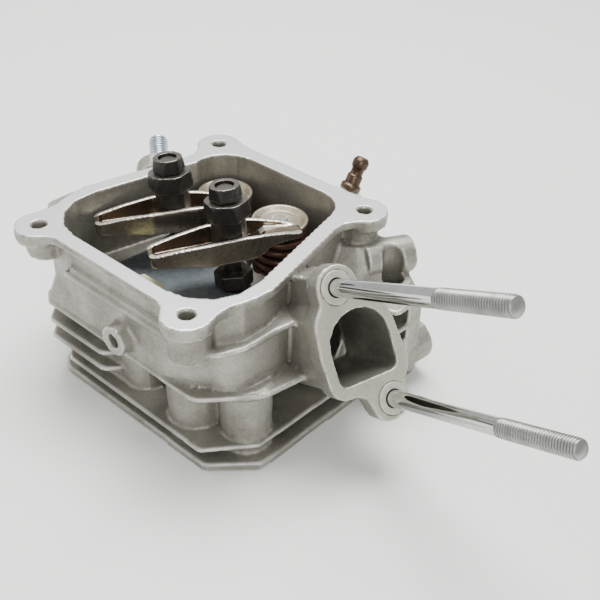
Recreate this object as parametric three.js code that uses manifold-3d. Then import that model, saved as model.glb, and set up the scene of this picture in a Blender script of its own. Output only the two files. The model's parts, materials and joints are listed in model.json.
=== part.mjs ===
// Cylinder head of a small overhead-valve engine with a 68 mm bore, as it lies on a bench.
// Millimetres, +Z up. The origin is on the gasket face, under the middle of the four cover screw holes.
// +X points to the intake side, -X to the exhaust side, -Y to the push-rod side, +Y to the spark plug.
import * as THREE from "three";
import { mergeVertices } from "three/addons/utils/BufferGeometryUtils.js";
import Module from "manifold-3d";

const wasm = await Module();
wasm.setup();

// ---- driving dimensions -------------------------------------------------------------------
const HEAD_HEIGHT = 60.5; // gasket face to cover face
const GAP = 0.3; // left between pieces that touch
const COVER_HOLE_X = 36.3; // cover screw holes, each side of the middle
const COVER_HOLE_Y = 42;
const EAR_RADIUS = 8.4;
const EAR_THICKNESS = 4.6;
const M6_TAP_RADIUS = 2.6;
const M8_CLEAR_RADIUS = 4.3;
const POCKET_FLOOR = 34; // floor of the rocker pocket
const SPRING_FLOOR = 27; // floor of the two spring wells
const DECK_TOP = 29.4; // the fin under the rocker box
const FIN_THICKNESS = 1.8;
const FIN_LEVELS = [6.6, 13.6, 20.6]; // undersides of the fins between gasket plate and deck
const BASE_THICKNESS = 3;
const CHAMBER_DEPTH = 7;
const VALVE_Y = 28.4;
const PIVOT_Y = 3;
const STEM_RADIUS = 2.75;
const SPRING_RADIUS = 8.8; // middle of the wire
const WIRE_RADIUS = 1.3;
const RETAINER_TOP = 51.4;
const STEM_TOP = 51.6; // what a rocker arm presses on, with the rotator cap on the exhaust stem
const ROTATOR_LIP = 1.2;
const PIVOT_CENTRE = 54; // height of the ball that a rocker arm rocks on
const BALL_RADIUS = 6.2;
const ROCKER_LEAN = THREE.MathUtils.degToRad(-6); // of the rocker studs, towards the exhaust side

// Each arm lies swung off its valve, clockwise as seen from above.
const INTAKE = {
  name: "intake",
  x: 8.8,
  swing: THREE.MathUtils.degToRad(-31),
  valveRadius: 11.7,
  seatRadius: 12.7,
  throatRadius: 10.2,
};
const EXHAUST = {
  name: "exhaust",
  x: -19.4,
  swing: THREE.MathUtils.degToRad(-35),
  valveRadius: 11,
  seatRadius: 12,
  throatRadius: 9.4,
};

const HEAD_BOLTS = [
  [26, -31],
  [-31, -29],
  [51, 41.5],
  [-47, 42],
];

// Each flange face has its origin on its upper stud's axis.
const INTAKE_FACE = flangeFace(-15.5, 28, new THREE.Vector3(60.5, -2.6, HEAD_HEIGHT + 1.3));
const INTAKE_STUDS = [
  [0, 0],
  [11.3, -40.5],
];
const INTAKE_STUD_OUT = 79.5;
const EXHAUST_FACE = flangeFace(140.5, 20, new THREE.Vector3(-64, 34.5, 43));
const EXHAUST_STUDS = [
  [0, 0],
  [-12, -35.5],
];
const EXHAUST_STUD_OUT = 15.5;
const FLANGE_THICKNESS = 7;
const STUD_IN = 9;

// The spark plug's own axis runs from its tip in the chamber to the end of its terminal.
const PLUG_TIP = new THREE.Vector3(4.5, 48, 3);
const PLUG_END = new THREE.Vector3(9.2, 75.6, 58.8);
const PLUG_SEAT = 13.5; // from the tip to the gasket seat

// ---- materials ----------------------------------------------------------------------------
function finish(color, roughness, metalness) {
  return new THREE.MeshStandardMaterial({ color, roughness, metalness });
}
const castAluminium = finish(0x9a9284, 0.6, 0.7);
const blackOxide = finish(0x26241f, 0.45, 0.8);
const brightSteel = finish(0xb9bcba, 0.2, 1);
const zincSteel = finish(0xa9b5ae, 0.35, 0.9);
const bronzeSteel = finish(0x6b5d4c, 0.35, 0.9);
const blueSteel = finish(0x5c686b, 0.4, 0.9);
const springSteel = finish(0x2a2a2c, 0.4, 0.9);
const creamPlastic = finish(0xb8b57c, 0.5, 0);
const sealRubber = finish(0x2c3a33, 0.7, 0);
const whiteCeramic = finish(0xe9e6d8, 0.25, 0);
const brownSteel = finish(0x3a2923, 0.4, 0.7);
const sinteredIron = finish(0x77736b, 0.5, 0.8);

// ---- solids -------------------------------------------------------------------------------
// A closed three.js geometry as a solid that can be cut and joined.
function solid(geometry) {
  const bare = geometry.clone();
  bare.deleteAttribute("normal");
  bare.deleteAttribute("uv");
  const merged = mergeVertices(bare, 1e-4);
  return new wasm.Manifold(
    new wasm.Mesh({
      numProp: 3,
      vertProperties: merged.attributes.position.array,
      triVerts: new Uint32Array(merged.index.array),
    }),
  );
}

function meshOf(made, name, material) {
  const raw = made.getMesh();
  const geometry = new THREE.BufferGeometry();
  geometry.setAttribute("position", new THREE.BufferAttribute(raw.vertProperties, 3));
  geometry.setIndex(new THREE.BufferAttribute(raw.triVerts, 1));
  const mesh = new THREE.Mesh(geometry, material);
  mesh.name = name;
  return mesh;
}

function join(parts) {
  return parts.reduce((all, part) => all.add(part));
}

// A closed outline whose corners, each [x, y, radius], are rounded with true arcs.
function roundedShape(corners) {
  const shape = new THREE.Shape();
  corners.forEach(([x, y, radius], i) => {
    const corner = new THREE.Vector2(x, y);
    const before = new THREE.Vector2(...corners.at(i - 1).slice(0, 2));
    const after = new THREE.Vector2(...corners[(i + 1) % corners.length].slice(0, 2));
    const back = before.sub(corner).normalize();
    const on = after.sub(corner).normalize();
    const half = Math.acos(THREE.MathUtils.clamp(back.dot(on), -1, 1)) / 2;
    const inset = radius / Math.tan(half);
    const start = corner.clone().addScaledVector(back, inset);
    const end = corner.clone().addScaledVector(on, inset);
    const middle = back.clone().add(on).normalize();
    const centre = corner.clone().addScaledVector(middle, radius / Math.sin(half));
    const from = start.clone().sub(centre).angle();
    const to = end.clone().sub(centre).angle();
    if (i) shape.lineTo(start.x, start.y);
    else shape.moveTo(start.x, start.y);
    shape.absarc(centre.x, centre.y, radius, from, to, back.cross(on) > 0);
  });
  shape.closePath();
  return shape;
}

// A shape pushed from height low to height high.
function prism(shape, low, high, curveSegments = 2) {
  const geometry = new THREE.ExtrudeGeometry(shape, {
    depth: high - low,
    bevelEnabled: false,
    curveSegments,
  });
  return solid(geometry.translate(0, 0, low));
}

// A block whose outline changes in a straight line from one polygon to another.
function loft(lowOutline, low, highOutline, high) {
  const count = lowOutline.length;
  const points = [
    ...lowOutline.map(([x, y]) => [x, y, low]),
    ...highOutline.map(([x, y]) => [x, y, high]),
  ];
  const faces = [];
  for (let i = 0; i < count; i++) {
    const next = (i + 1) % count;
    faces.push(i, next, count + next, i, count + next, count + i);
  }
  for (let i = 1; i < count - 1; i++) {
    faces.push(0, i + 1, i);
    faces.push(count, count + i, count + i + 1);
  }
  const geometry = new THREE.BufferGeometry();
  const flat = new Float32Array(points.flat());
  geometry.setAttribute("position", new THREE.BufferAttribute(flat, 3));
  geometry.setIndex(faces);
  return solid(geometry);
}

// A round bar or cone between two points.
function bar(from, to, fromRadius, toRadius = fromRadius, sides = 16) {
  const along = to.clone().sub(from);
  const geometry = new THREE.CylinderGeometry(toRadius, fromRadius, along.length(), sides);
  geometry.translate(0, along.length() / 2, 0);
  const turn = new THREE.Quaternion().setFromUnitVectors(
    new THREE.Vector3(0, 1, 0),
    along.normalize(),
  );
  geometry.applyQuaternion(turn);
  return solid(geometry.translate(from.x, from.y, from.z));
}

function post(x, y, low, high, radius, topRadius = radius, sides = 16) {
  return bar(new THREE.Vector3(x, y, low), new THREE.Vector3(x, y, high), radius, topRadius, sides);
}

// A turned piece: profile is [radius, height] points, and the axis is Z.
function turned(profile, sides = 16) {
  const points = profile.map(([radius, height]) => new THREE.Vector2(radius, height));
  return solid(new THREE.LatheGeometry(points, sides).rotateX(Math.PI / 2));
}

function hexagon(acrossFlats, low, high, turn = 0) {
  const geometry = new THREE.CylinderGeometry(1, 1, high - low, 6, 1);
  geometry.scale(acrossFlats / Math.sqrt(3), 1, acrossFlats / Math.sqrt(3));
  geometry.rotateX(Math.PI / 2);
  geometry.rotateZ(turn);
  return solid(geometry.translate(0, 0, (low + high) / 2));
}

// A flat face that looks out at a yaw about Z and a rise above level; its up axis leans with it.
function flangeFace(yawDegrees, riseDegrees, origin) {
  const yaw = THREE.MathUtils.degToRad(yawDegrees);
  const rise = THREE.MathUtils.degToRad(riseDegrees);
  const normal = new THREE.Vector3(
    Math.cos(rise) * Math.cos(yaw),
    Math.cos(rise) * Math.sin(yaw),
    Math.sin(rise),
  );
  const across = new THREE.Vector3(-normal.y, normal.x, 0).normalize();
  return { origin, normal, across, up: normal.clone().cross(across) };
}

// A point u across and v up a face, and out along its normal.
function facePoint(face, u, v, out = 0) {
  return face.origin
    .clone()
    .addScaledVector(face.across, u)
    .addScaledVector(face.up, v)
    .addScaledVector(face.normal, out);
}

// Moves a solid that was made about the Z axis onto a face.
function onFace(face, made, u = 0, v = 0) {
  const matrix = new THREE.Matrix4()
    .makeBasis(face.across, face.up, face.normal)
    .setPosition(facePoint(face, u, v));
  const mesh = made.getMesh();
  const geometry = new THREE.BufferGeometry();
  geometry.setAttribute("position", new THREE.BufferAttribute(mesh.vertProperties, 3));
  geometry.setIndex(new THREE.BufferAttribute(mesh.triVerts, 1));
  return solid(geometry.applyMatrix4(matrix));
}

// The spark plug stands on a face whose normal is the plug's axis.
const plugAxis = PLUG_END.clone().sub(PLUG_TIP).normalize();
const plugAcross = plugAxis.clone().cross(new THREE.Vector3(0, 0, 1)).normalize();
const PLUG_FACE = {
  origin: PLUG_TIP,
  normal: plugAxis,
  across: plugAcross,
  up: plugAxis.clone().cross(plugAcross),
};

// ---- the casting --------------------------------------------------------------------------
// The cover face's outline is the same on both sides: this is its right half, from -Y round to +Y.
function coverOutline() {
  const half = new THREE.Path();
  half.moveTo(0, -43.6);
  half.lineTo(22, -43.6);
  half.quadraticCurveTo(27.5, -43.6, 29.6, -46.9);
  half.absarc(COVER_HOLE_X, -COVER_HOLE_Y, EAR_RADIUS, -2.5, 0.43, false);
  half.quadraticCurveTo(42.4, -35, 43.2, -30);
  half.quadraticCurveTo(46.6, -22, 46.2, -15);
  half.lineTo(37.3, 25);
  half.quadraticCurveTo(36, 31.5, 42.5, 36.8);
  half.absarc(COVER_HOLE_X, COVER_HOLE_Y, EAR_RADIUS, -0.68, 2.1, false);
  half.quadraticCurveTo(28.5, 48, 23, 48);
  half.lineTo(0, 48);
  const right = half.getPoints(3);
  const left = right.map((p) => new THREE.Vector2(-p.x, p.y)).reverse();
  return new THREE.Shape([...right, ...left.slice(1, -1)]);
}

const POCKET_OUTLINE = [
  [-45.3, -38.1, 18.5],
  [45.3, -38.1, 18.5],
  [27.6, 41.3, 12],
  [-27.6, 41.3, 12],
];
const BOX_OUTLINE = [
  [-50, -41.6, 19],
  [50, -41.6, 19],
  [31, 47, 12],
  [-31, 47, 12],
];
const BASE_OUTLINE = [
  [-30, -43.4, 6],
  [42.4, -43.6, 3],
  [55.8, -30, 3],
  [56.8, 14, 10],
  [58, 34, 4],
  [63, 43, 5],
  [58, 55, 6],
  [46, 60, 8],
  [-42, 60, 8],
  [-54, 48, 8],
  [-48, -12, 12],
  [-35.5, -39.5, 4],
];
const SECOND_FIN_OUTLINE = [
  [-28.4, -43.1, 3],
  [40.4, -43.6, 2],
  [53, -28.4, 3],
  [54.5, 14, 10],
  [63, 27, 4],
  [63.5, 42, 4],
  [55, 54, 6],
  [45, 58, 8],
  [-41, 58, 8],
  [-53, 46, 8],
  [-47, -12, 12],
  [-33.5, -38.5, 3],
];
// The two fins above it stop short of the air gap on the push-rod side.
const SHORT_FIN_OUTLINE = [
  [-36, -43.8, 2],
  [-7, -43.6, 4],
  [-1, -36, 4],
  [10, -20, 4],
  [36, -8, 6],
  [52, 14, 8],
  [64, 27, 3],
  [64.5, 41, 3],
  [54, 53, 6],
  [44, 57, 8],
  [-41, 57, 8],
  [-52, 45, 8],
  [-47, -12, 12],
  [-41, -38, 3],
];
const DECK_OUTLINE = [
  [-36.8, -43, 1],
  [39, -43.7, 7],
  [53.8, -27, 8],
  [58.6, -2, 8],
  [59.5, 16, 10],
  [64.5, 27, 3],
  [65, 41, 3],
  [54, 51, 6],
  [46, 53, 6],
  [-40, 54, 6],
  [-50, 40, 6],
  [-50, -14, 8],
  [-41.5, -39.5, 1],
];
const UPPER_FIN_OUTLINE = [
  [37, -42.4, 3],
  [44.6, -38.6, 5],
  [48.6, -30, 8],
  [49.2, -17, 12],
  [53.5, 3, 3],
  [50, 12, 3],
  [38, 10, 2],
  [36, -30, 2],
];
// The box wall's lower tier, which stands out under the upper fin.
const LOWER_TIER_OUTLINE = [
  [-12, -41.8, 1],
  [24, -42.9, 10],
  [47, -33, 11],
  [49, -14, 14],
  [40, 14, 3],
  [-12, 10, 3],
];
// A fin over the air pockets behind the intake flange.
const POCKET_FIN_OUTLINE = [
  [38, 20, 2],
  [64.5, 27, 3],
  [65, 41, 3],
  [52, 50, 6],
  [36, 48, 4],
];
const CORE_OUTLINE = [
  [-42, -14, 6],
  [-20, -38, 4],
  [6, -38, 6],
  [12, -14, 6],
  [38, -2, 8],
  [38, 48, 8],
  [-40, 48, 8],
];
const CHAMBER_OUTLINE = [
  [-35, 14, 10],
  [-8, 11, 8],
  [25, 14, 10],
  [25, 40, 8],
  [13, 56, 8],
  [-6, 56, 8],
  [-34, 42, 10],
];
const PUSH_ROD_SLOT = [
  [-23.5, -30, 4.9],
  [14, -30, 4.9],
  [14, -20, 4.9],
  [-23.5, -20, 4.9],
];

// The intake flange's face: the upper ear, the port's surround and the lower ear.
const INTAKE_FLANGE_OUTLINE = [
  [-7.3, 7, 7],
  [7, 7, 7],
  [8.5, -2.5, 5],
  [16.8, -10, 8],
  [19.2, -22, 12],
  [20.5, -31, 5],
  [17.2, -36.5, 3],
  [18.8, -48, 7],
  [5.4, -47.6, 6],
  [1.5, -35.6, 6],
  [-9.4, -35.6, 6],
  [-10.8, -20, 10],
  [-10.4, -9, 5],
  [-6.6, -4, 5],
];
const INTAKE_NECK_OUTLINE = [
  [-9, -4, 6],
  [8, -4, 8],
  [18.6, -14, 8],
  [18.6, -34, 6],
  [-9.4, -34, 6],
];
const INTAKE_PORT_OUTLINE = [
  [-6, -31.4, 2.5],
  [15.8, -31.4, 2.5],
  [15.2, -8.4, 10.4],
  [-7.6, -8.4, 10.6],
];
const INTAKE_NECK_DEPTH = 40;
const INTAKE_PORT_DEPTH = 30;

const EXHAUST_FLANGE_OUTLINE = [
  [-9, 8.8, 8.6],
  [9, 8.8, 8.6],
  [10, -4, 4],
  [11, -26, 8],
  [-1, -33, 4],
  [-3, -44.4, 8.6],
  [-21, -44.4, 8.6],
  [-22, -31, 4],
  [-23, -9, 8],
  [-11, -2, 4],
];
const EXHAUST_PORT_CENTRE = [-6, -18];
const EXHAUST_PORT_RADIUS = 11.5;

// Where each passage turns on its way from its valve to its flange.
const INTAKE_TURN = new THREE.Vector3(26, 18, 18.6);
const INTAKE_BEND = new THREE.Vector3(45, 6.5, 28.6);
const EXHAUST_TURN = new THREE.Vector3(-37, 33, 17);
const EXHAUST_BEND = new THREE.Vector3(-55, 35.5, 21.5);

function rockerBox() {
  const parts = [
    prism(coverOutline(), HEAD_HEIGHT - 3, HEAD_HEIGHT),
    prism(roundedShape(BOX_OUTLINE), DECK_TOP - 2, HEAD_HEIGHT - 1),
    prism(roundedShape(UPPER_FIN_OUTLINE), 45.6, 47.3),
    prism(roundedShape(LOWER_TIER_OUTLINE), DECK_TOP - 1, 46),
  ];
  for (const side of [-1, 1]) {
    for (const end of [-1, 1]) {
      const x = side * COVER_HOLE_X;
      const y = end * COVER_HOLE_Y;
      const earFloor = HEAD_HEIGHT - EAR_THICKNESS;
      const bossFloor = side > 0 && end < 0 ? 44 : 50;
      parts.push(post(x, y, earFloor, HEAD_HEIGHT - 0.5, EAR_RADIUS));
      parts.push(post(x * 0.97, y * 0.97, bossFloor, earFloor + 1, 6.8, 7.8));
    }
  }
  return join(parts);
}

// Two low ledges that run along the outside of the push-rod wall.
function wallLedges() {
  const middle = 4.5;
  const lower = new THREE.BoxGeometry(55, 5, 2.4).translate(middle, -41.2, 47.4);
  const upper = new THREE.BoxGeometry(50, 4, 2.2).translate(middle, -40.9, 50.2);
  return solid(lower).add(solid(upper));
}

// The web that slopes from under the ear down to the deck's corner, on the exhaust side.
function cornerWeb() {
  const low = [
    [-41, -39.4],
    [-36.8, -43],
    [-8, -42.4],
    [-14, -20],
    [-34, -14],
  ];
  const high = [
    [-33, -36.6],
    [-30, -38.4],
    [-24, -38.4],
    [-24, -30],
    [-33, -28],
  ];
  return loft(low, DECK_TOP - 1, high, 50);
}

function fins() {
  return join([
    prism(roundedShape(BASE_OUTLINE), 0, BASE_THICKNESS),
    prism(roundedShape(SECOND_FIN_OUTLINE), FIN_LEVELS[0], FIN_LEVELS[0] + FIN_THICKNESS),
    prism(roundedShape(SHORT_FIN_OUTLINE), FIN_LEVELS[1], FIN_LEVELS[1] + FIN_THICKNESS),
    prism(roundedShape(SHORT_FIN_OUTLINE), FIN_LEVELS[2], FIN_LEVELS[2] + FIN_THICKNESS),
    prism(roundedShape(DECK_OUTLINE), DECK_TOP - 2, DECK_TOP),
  ]);
}

function columns() {
  return join([
    post(26, -31, 1, 30, 9.2, 10.2),
    post(43, -24.5, 1, 30, 8.6, 9),
    post(-31, -29, 1, 30, 8),
    post(51, 41.5, 1, 39, 6.8),
    post(-47, 42, 1, 34, 8),
    prism(roundedShape(CORE_OUTLINE), 1, DECK_TOP),
  ]);
}

// The boss with a tapped hole that stands out of the push-rod side.
const SIDE_BOSS = new THREE.Vector3(5.6, -47.6, 36.4);

function sideBoss() {
  const root = SIDE_BOSS.clone().setY(-30);
  return bar(root, SIDE_BOSS, 6.2, 5.3);
}

// The cast boss beside the cover's intake corner: a faceted block that ends in a round nose.
function sideLug() {
  const low = [
    [32, 20],
    [46.5, 27],
    [51, 36],
    [44, 50],
    [34, 44],
  ];
  const high = [
    [33, 30],
    [41, 33.5],
    [46, 39],
    [42, 46],
    [34, 44],
  ];
  return join([
    loft(low, 38, high, 50.5),
    bar(new THREE.Vector3(41, 36, 44), new THREE.Vector3(49.5, 53, 43.6), 7.4, 6.8),
  ]);
}

// The thin wall that closes the air pockets behind the intake flange, and the round lug beside it.
function intakeSide() {
  const wall = new THREE.BoxGeometry(1.6, 8, 32).translate(64, 38, 22.4);
  return join([
    prism(roundedShape(POCKET_FIN_OUTLINE), 36.2, 38),
    solid(wall),
    bar(new THREE.Vector3(57, 36, 12), new THREE.Vector3(59, 50, 12), 8.4, 8.4),
  ]);
}

// The cast block on the exhaust side's box wall.
function exhaustBlock() {
  const outline = roundedShape([
    [-56, -27, 3],
    [-40, -27, 1],
    [-36, -10, 1],
    [-56, -12, 3],
  ]);
  return prism(outline, DECK_TOP - 1, 54);
}

function intakeNeck() {
  const face = prism(roundedShape(INTAKE_FLANGE_OUTLINE), -FLANGE_THICKNESS, 0);
  const neck = prism(roundedShape(INTAKE_NECK_OUTLINE), -INTAKE_NECK_DEPTH, -1);
  const upperWeb = solid(new THREE.BoxGeometry(11, 12, 26).translate(0, -1.5, -15));
  return join([face, neck, upperWeb].map((made) => onFace(INTAKE_FACE, made)));
}

function exhaustNeck() {
  const [u, v] = EXHAUST_PORT_CENTRE;
  const plate = prism(roundedShape(EXHAUST_FLANGE_OUTLINE), -FLANGE_THICKNESS, 0);
  const behindPort = facePoint(EXHAUST_FACE, u, v, -2);
  return join([
    onFace(EXHAUST_FACE, plate),
    onFace(EXHAUST_FACE, post(0, 0, -22, -1, 7, 8)),
    bar(behindPort, EXHAUST_BEND, 15, 15),
    bar(EXHAUST_BEND, new THREE.Vector3(-26, 28, 17), 15, 14),
  ]);
}

function plugBoss() {
  return onFace(PLUG_FACE, post(0, 0, 4, PLUG_SEAT, 12));
}

function portPassages() {
  const intakeThroat = new THREE.Vector3(INTAKE.x, VALVE_Y, 15.6);
  const exhaustThroat = new THREE.Vector3(EXHAUST.x, VALVE_Y, 15.6);
  const exhaustMouth = facePoint(EXHAUST_FACE, ...EXHAUST_PORT_CENTRE, 1);
  return join([
    onFace(INTAKE_FACE, prism(roundedShape(INTAKE_PORT_OUTLINE), -INTAKE_PORT_DEPTH, 1)),
    bar(intakeThroat, INTAKE_TURN, 8.2, 8.6),
    bar(INTAKE_TURN, INTAKE_BEND, 8.6, 10.6),
    bar(exhaustThroat, EXHAUST_TURN, 8, 9),
    bar(EXHAUST_TURN, EXHAUST_BEND, 9, 11),
    bar(EXHAUST_BEND, exhaustMouth, 11, EXHAUST_PORT_RADIUS),
    post(INTAKE.x, VALVE_Y, 5, 20, INTAKE.throatRadius - 0.6, 8),
    post(EXHAUST.x, VALVE_Y, 5, 20, EXHAUST.throatRadius - 0.6, 7.6),
  ]);
}

function valveBores() {
  const cuts = [];
  for (const valve of [INTAKE, EXHAUST]) {
    cuts.push(post(valve.x, VALVE_Y, SPRING_FLOOR, HEAD_HEIGHT + 1, 12.4));
    cuts.push(post(valve.x, VALVE_Y, 10, SPRING_FLOOR + 1, 5.2 + GAP));
    cuts.push(post(valve.x, VALVE_Y, 0, CHAMBER_DEPTH + 5.6, valve.seatRadius + GAP));
    cuts.push(onRockerAxis(valve, post(0, 0, 14 - PIVOT_CENTRE, POCKET_FLOOR + 1 - PIVOT_CENTRE, 4.4)));
  }
  return join(cuts);
}

function screwHoles() {
  const cuts = [];
  for (const side of [-1, 1]) {
    for (const end of [-1, 1]) {
      const x = side * COVER_HOLE_X;
      const y = end * COVER_HOLE_Y;
      cuts.push(post(x, y, HEAD_HEIGHT - 13, HEAD_HEIGHT + 1, M6_TAP_RADIUS, M6_TAP_RADIUS, 12));
      cuts.push(post(x, y, HEAD_HEIGHT - 0.8, HEAD_HEIGHT + 0.2, M6_TAP_RADIUS, 3.4, 12));
    }
  }
  for (const [x, y] of HEAD_BOLTS) {
    cuts.push(post(x, y, -1, HEAD_HEIGHT - 10, M8_CLEAR_RADIUS, M8_CLEAR_RADIUS, 12));
  }
  const tapped = SIDE_BOSS.clone().setY(SIDE_BOSS.y + 12);
  const outside = SIDE_BOSS.clone().setY(SIDE_BOSS.y - 1);
  cuts.push(bar(tapped, outside, M6_TAP_RADIUS, M6_TAP_RADIUS, 12));
  for (const [u, v] of INTAKE_STUDS) {
    const hole = post(0, 0, -STUD_IN - 1, 1, 3 + GAP, 3 + GAP, 12);
    const recess = post(0, 0, -0.9, 1, 5.5 + GAP);
    cuts.push(onFace(INTAKE_FACE, hole.add(recess), u, v));
  }
  for (const [u, v] of EXHAUST_STUDS) {
    const hole = post(0, 0, -STUD_IN - 1, 1, 4 + GAP, 4 + GAP, 12);
    cuts.push(onFace(EXHAUST_FACE, hole, u, v));
  }
  return join(cuts);
}

// The threaded hole for the spark plug and the well that a plug spanner goes down.
function plugWell() {
  return join([
    onFace(PLUG_FACE, post(0, 0, -1, PLUG_SEAT + 1, 7 + GAP)),
    onFace(PLUG_FACE, post(0, 0, PLUG_SEAT, 90, 12.6)),
  ]);
}

function headCasting() {
  const body = join([
    fins(),
    columns(),
    rockerBox(),
    wallLedges(),
    cornerWeb(),
    sideBoss(),
    sideLug(),
    intakeSide(),
    exhaustBlock(),
    intakeNeck(),
    exhaustNeck(),
    plugBoss(),
  ]);
  const aboveBench = solid(new THREE.BoxGeometry(400, 400, 100).translate(0, 0, 50));
  const pocket = prism(roundedShape(POCKET_OUTLINE), POCKET_FLOOR, HEAD_HEIGHT + 1);
  const chamber = prism(roundedShape(CHAMBER_OUTLINE), -1, CHAMBER_DEPTH);
  const slot = prism(roundedShape(PUSH_ROD_SLOT), -1, POCKET_FLOOR + 1);
  const made = body
    .intersect(aboveBench)
    .subtract(pocket)
    .subtract(chamber)
    .subtract(slot)
    .subtract(portPassages())
    .subtract(valveBores())
    .subtract(screwHoles())
    .subtract(plugWell());
  return made.decompose().sort((a, b) => b.volume() - a.volume())[0];
}

// ---- valves and springs -------------------------------------------------------------------
function valveParts({ name, x, valveRadius, seatRadius, throatRadius }) {
  const group = new THREE.Group();
  group.position.set(x, VALVE_Y, 0);
  const face = CHAMBER_DEPTH - 0.6;
  const stemTip = name === "intake" ? STEM_TOP : STEM_TOP - ROTATOR_LIP;

  const valve = turned([
    [0, face - 1.4],
    [valveRadius, face - 1.4],
    [valveRadius, face],
    [valveRadius - 1.9, face + 1.9],
    [STEM_RADIUS + 1.6, face + 4.4],
    [STEM_RADIUS, face + 9],
    [STEM_RADIUS, stemTip - 3.6],
    [STEM_RADIUS - 0.7, stemTip - 3.2],
    [STEM_RADIUS - 0.7, stemTip - 1.8],
    [STEM_RADIUS, stemTip - 1.4],
    [STEM_RADIUS, stemTip - 0.3],
    [STEM_RADIUS - 0.3, stemTip],
    [0, stemTip],
  ]);
  group.add(meshOf(valve, name + "_valve", brightSteel));

  const seat = turned([
    [valveRadius + 0.5, face],
    [seatRadius, face],
    [seatRadius, face + 5.6],
    [throatRadius, face + 5.6],
    [throatRadius, face + 2.6],
    [valveRadius + 0.5, face + 0.6],
    [valveRadius + 0.5, face],
  ]);
  group.add(meshOf(seat, name + "_valve_seat", sinteredIron));

  const guide = turned([
    [STEM_RADIUS + 0.25, 17.5],
    [4.6, 17.5],
    [5.2, 19],
    [5.2, 38],
    [4.4, 39],
    [STEM_RADIUS + 0.25, 39],
    [STEM_RADIUS + 0.25, 17.5],
  ]);
  group.add(meshOf(guide, name + "_valve_guide", sinteredIron));

  const washer = turned([
    [7.2, SPRING_FLOOR + GAP],
    [11.4, SPRING_FLOOR + GAP],
    [11.4, SPRING_FLOOR + 1.3],
    [7.2, SPRING_FLOOR + 1.3],
    [7.2, SPRING_FLOOR + GAP],
  ]);
  group.add(meshOf(washer, name + "_spring_seat", blueSteel));

  const coil = springCoil(SPRING_FLOOR + 3.2, RETAINER_TOP - 3.6);
  group.add(meshOf(coil, name + "_valve_spring", springSteel));

  const retainer = turned([
    [STEM_RADIUS + 0.3, RETAINER_TOP - 3.2],
    [5.2, RETAINER_TOP - 3.2],
    [6.2, RETAINER_TOP - 2],
    [10.2, RETAINER_TOP - 2],
    [10.4, RETAINER_TOP - 0.3],
    [10.1, RETAINER_TOP],
    [9.2, RETAINER_TOP],
    [7.6, RETAINER_TOP - 1.4],
    [STEM_RADIUS + 0.3, RETAINER_TOP - 1.2],
    [STEM_RADIUS + 0.3, RETAINER_TOP - 3.2],
  ]);
  group.add(meshOf(retainer, name + "_spring_retainer", zincSteel));
  return group;
}

// The seal that keeps oil from going down the intake guide.
function stemSeal() {
  const seal = turned([
    [5.5, 34],
    [6.6, 34],
    [6.6, 38.6],
    [5, 41.4],
    [3.3, 41.4],
    [3.3, 39.4],
    [5.5, 39.4],
    [5.5, 34],
  ]);
  const mesh = meshOf(seal, "intake_stem_seal", sealRubber);
  mesh.position.set(INTAKE.x, VALVE_Y, 0);
  return mesh;
}

// The hardened cap that turns the exhaust valve a little at each stroke.
function rotatorCap() {
  const lip = STEM_TOP - ROTATOR_LIP + GAP;
  const cap = turned([
    [STEM_RADIUS + 0.3, RETAINER_TOP - 0.7 + GAP],
    [4.4, RETAINER_TOP - 0.4 + GAP],
    [4.6, STEM_TOP - 0.3],
    [4.2, STEM_TOP],
    [0, STEM_TOP],
    [0, lip],
    [STEM_RADIUS + 0.3, lip],
    [STEM_RADIUS + 0.3, RETAINER_TOP - 0.7 + GAP],
  ]);
  const mesh = meshOf(cap, "exhaust_rotator_cap", zincSteel);
  mesh.position.set(EXHAUST.x, VALVE_Y, 0);
  return mesh;
}

class Helix extends THREE.Curve {
  constructor(radius, low, high, turns) {
    super();
    Object.assign(this, { radius, low, high, turns });
  }

  getPoint(t, target = new THREE.Vector3()) {
    const angle = 2 * Math.PI * this.turns * t;
    const height = THREE.MathUtils.lerp(this.low, this.high, t);
    return target.set(this.radius * Math.cos(angle), this.radius * Math.sin(angle), height);
  }
}

function springCoil(low, high) {
  const turns = 5;
  const path = new Helix(SPRING_RADIUS, low, high, turns);
  const wire = new THREE.Shape();
  wire.absarc(0, 0, WIRE_RADIUS, 0, 2 * Math.PI);
  return solid(new THREE.ExtrudeGeometry(wire, {
    extrudePath: path,
    steps: turns * 10,
    curveSegments: 3,
  }));
}

// ---- rockers ------------------------------------------------------------------------------
const ARM_VALVE_REACH = 25.4;
const ARM_PUSH_REACH = 28.5;

// The outline of an arm from above, with each side drawn in by the inset.
function armPlan(inset) {
  const half = [
    [-ARM_PUSH_REACH + inset, 5 - inset, 3 - inset],
    [-8, 8.2 - inset, 12],
    [8, 8 - inset, 12],
    [ARM_VALVE_REACH - inset, 4.6 - inset, 3 - inset],
  ];
  const other = half.map(([x, y, radius]) => [x, -y, radius]).reverse();
  return roundedShape([...half, ...other].reverse());
}

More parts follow.
